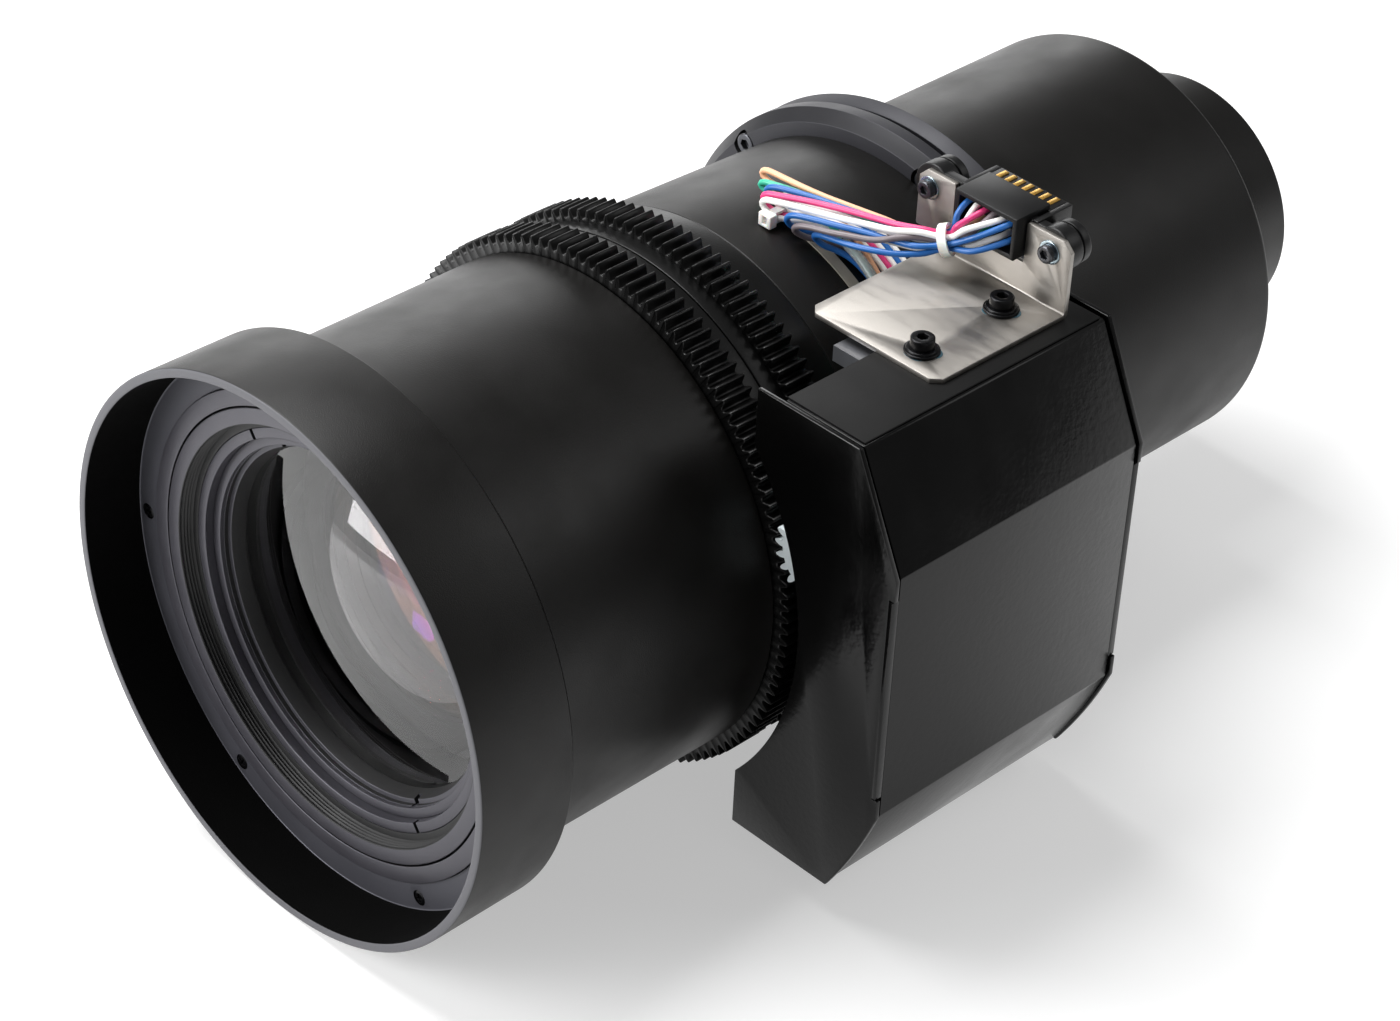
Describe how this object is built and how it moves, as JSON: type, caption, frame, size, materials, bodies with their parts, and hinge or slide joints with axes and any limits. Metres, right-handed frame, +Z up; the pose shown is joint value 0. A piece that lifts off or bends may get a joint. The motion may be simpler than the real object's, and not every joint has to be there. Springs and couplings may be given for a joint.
{
  "type": "projection lens",
  "caption": "Motorised zoom lens for a projector, with a hood, focus and zoom gear rings, a clamping flange, a motor box at the side and a plug-in connector on a bright bracket.",
  "frame": {"origin": "on the optical axis, in the seat face at the back of the mounting flange", "axes": "+Y along the optical axis towards the projector, so the lens looks along -Y; +Z up on the connector's side; +X towards the motor box"},
  "size_m": [0.1666, 0.3084, 0.1501],
  "materials": {
    "hood_black": "fine matte black anodised",
    "barrel_black": "satin black anodised",
    "flange_grey": "dark grey machined",
    "cell_black": "satin black anodised",
    "gear_black": "moulded black plastic",
    "pinion_plastic": "natural acetal",
    "key_brass": "plain",
    "screw_black": "black oxide steel",
    "pin_steel": "plain steel",
    "clear_glass": "coated optical glass",
    "box_black": "satin black sheet steel",
    "film_black": "matte black sheet",
    "frame_grey": "plain sheet",
    "motor_metal": "plated steel",
    "gearbox_grey": "plain",
    "sensor_blue": "moulded",
    "board_green": "circuit board",
    "bracket_steel": "bright stainless steel",
    "connector_black": "moulded black plastic",
    "contact_gold": "gold plated",
    "wire_blue": "insulated wire",
    "wire_white": "insulated wire",
    "wire_colours": "insulated wire in several colours",
    "nylon_white": "nylon",
    "sleeve_clear": "clear tubing",
    "strip_grey": "flat flexible strip"
  },
  "bodies": {
    "barrel": {"hood": "hood_black", "hood_back_ring": "hood_black", "hood_screws": "screw_black", "front_barrel": "barrel_black", "main_barrel": "barrel_black", "guide_pins": "pin_steel", "flange_plate": "flange_grey", "seat_ring": "flange_grey", "flange_screws": "screw_black", "rear_barrel": "barrel_black", "tail_tube": "barrel_black", "tail_screws": "screw_black", "sixth_lens": "clear_glass", "rear_lens": "clear_glass", "rear_retainer": "barrel_black", "box_front_plate": "box_black", "box_rear_plate": "box_black", "box_cover": "box_black", "box_top_plate": "film_black", "box_posts": "pin_steel", "motor_frame": "frame_grey", "frame_screws": "screw_black", "gear_plate": "frame_grey", "gear_plate_posts": "pin_steel", "focus_gearbox": "gearbox_grey", "zoom_gearbox": "gearbox_grey", "focus_motor": "motor_metal", "zoom_motor": "motor_metal", "focus_sensor": "sensor_blue", "zoom_sensor": "sensor_blue", "terminal_board": "board_green", "connector_bracket": "bracket_steel", "bracket_screws": "screw_black", "bracket_washers": "screw_black", "connector_body": "connector_black", "connector_contacts": "contact_gold", "connector_screws": "screw_black", "wires_blue": "wire_blue", "wires_white": "wire_white", "wires_coloured": "wire_colours", "cable_ties": "nylon_white", "wire_sleeve": "sleeve_clear", "sensor_strip": "strip_grey"},
    "focus_drive": {"focus_ring": "gear_black", "focus_key": "key_brass"},
    "zoom_drive": {"zoom_ring": "gear_black", "zoom_key": "key_brass"},
    "focus_group": {"focus_cell": "cell_black", "front_retaining_ring": "cell_black", "lens_retainer": "cell_black", "front_lens": "clear_glass", "second_lens": "clear_glass", "third_lens": "clear_glass"},
    "zoom_group": {"zoom_cell": "cell_black", "fourth_lens": "clear_glass", "fifth_lens": "clear_glass"},
    "focus_pinion_shaft": {"focus_pinion": "pinion_plastic"},
    "zoom_pinion_shaft": {"zoom_pinion": "pinion_plastic"},
    "focus_sensor_shaft": {"focus_sensor_gear": "pinion_plastic"},
    "zoom_sensor_shaft": {"zoom_sensor_gear": "pinion_plastic"}
  },
  "joints": [
    {"name": "focus_turn", "type": "hinge", "parent": "barrel", "child": "focus_drive", "pos_m": [0, -0.099, 0], "axis": [0, 1, 0], "range_deg": [-60, 60]},
    {"name": "zoom_turn", "type": "hinge", "parent": "barrel", "child": "zoom_drive", "pos_m": [0, -0.082, 0], "axis": [0, 1, 0], "range_deg": [-35, 35]},
    {"name": "focus_slide", "type": "slide", "parent": "barrel", "child": "focus_group", "axis": [0, 1, 0], "range_m": [-0.00315, 0.00315]},
    {"name": "zoom_slide", "type": "slide", "parent": "barrel", "child": "zoom_group", "axis": [0, 1, 0], "range_m": [-0.0049, 0.0049]},
    {"name": "focus_pinion_turn", "type": "hinge", "parent": "barrel", "child": "focus_pinion_shaft", "pos_m": [0.07147, -0.099, 0.02322], "axis": [0, 1, 0], "range_deg": [-392, 392]},
    {"name": "zoom_pinion_turn", "type": "hinge", "parent": "barrel", "child": "zoom_pinion_shaft", "pos_m": [0.07147, -0.082, -0.02322], "axis": [0, 1, 0], "range_deg": [-229, 229]},
    {"name": "focus_sensor_turn", "type": "hinge", "parent": "barrel", "child": "focus_sensor_shaft", "pos_m": [0.07802, -0.097, 0.04223], "axis": [0, 1, 0], "range_deg": [-392, 392]},
    {"name": "zoom_sensor_turn", "type": "hinge", "parent": "barrel", "child": "zoom_sensor_shaft", "pos_m": [0.07802, -0.08, -0.04223], "axis": [0, 1, 0], "range_deg": [-229, 229]}
  ],
  "couplings": [
    {"joint": "focus_slide", "follows": "focus_turn", "m_per_rad": 0.003},
    {"joint": "focus_pinion_turn", "follows": "focus_turn", "ratio": -6.5},
    {"joint": "focus_sensor_turn", "follows": "focus_turn", "ratio": 6.5},
    {"joint": "zoom_slide", "follows": "zoom_turn", "m_per_rad": 0.008},
    {"joint": "zoom_pinion_turn", "follows": "zoom_turn", "ratio": -6.5},
    {"joint": "zoom_sensor_turn", "follows": "zoom_turn", "ratio": 6.5}
  ]
}
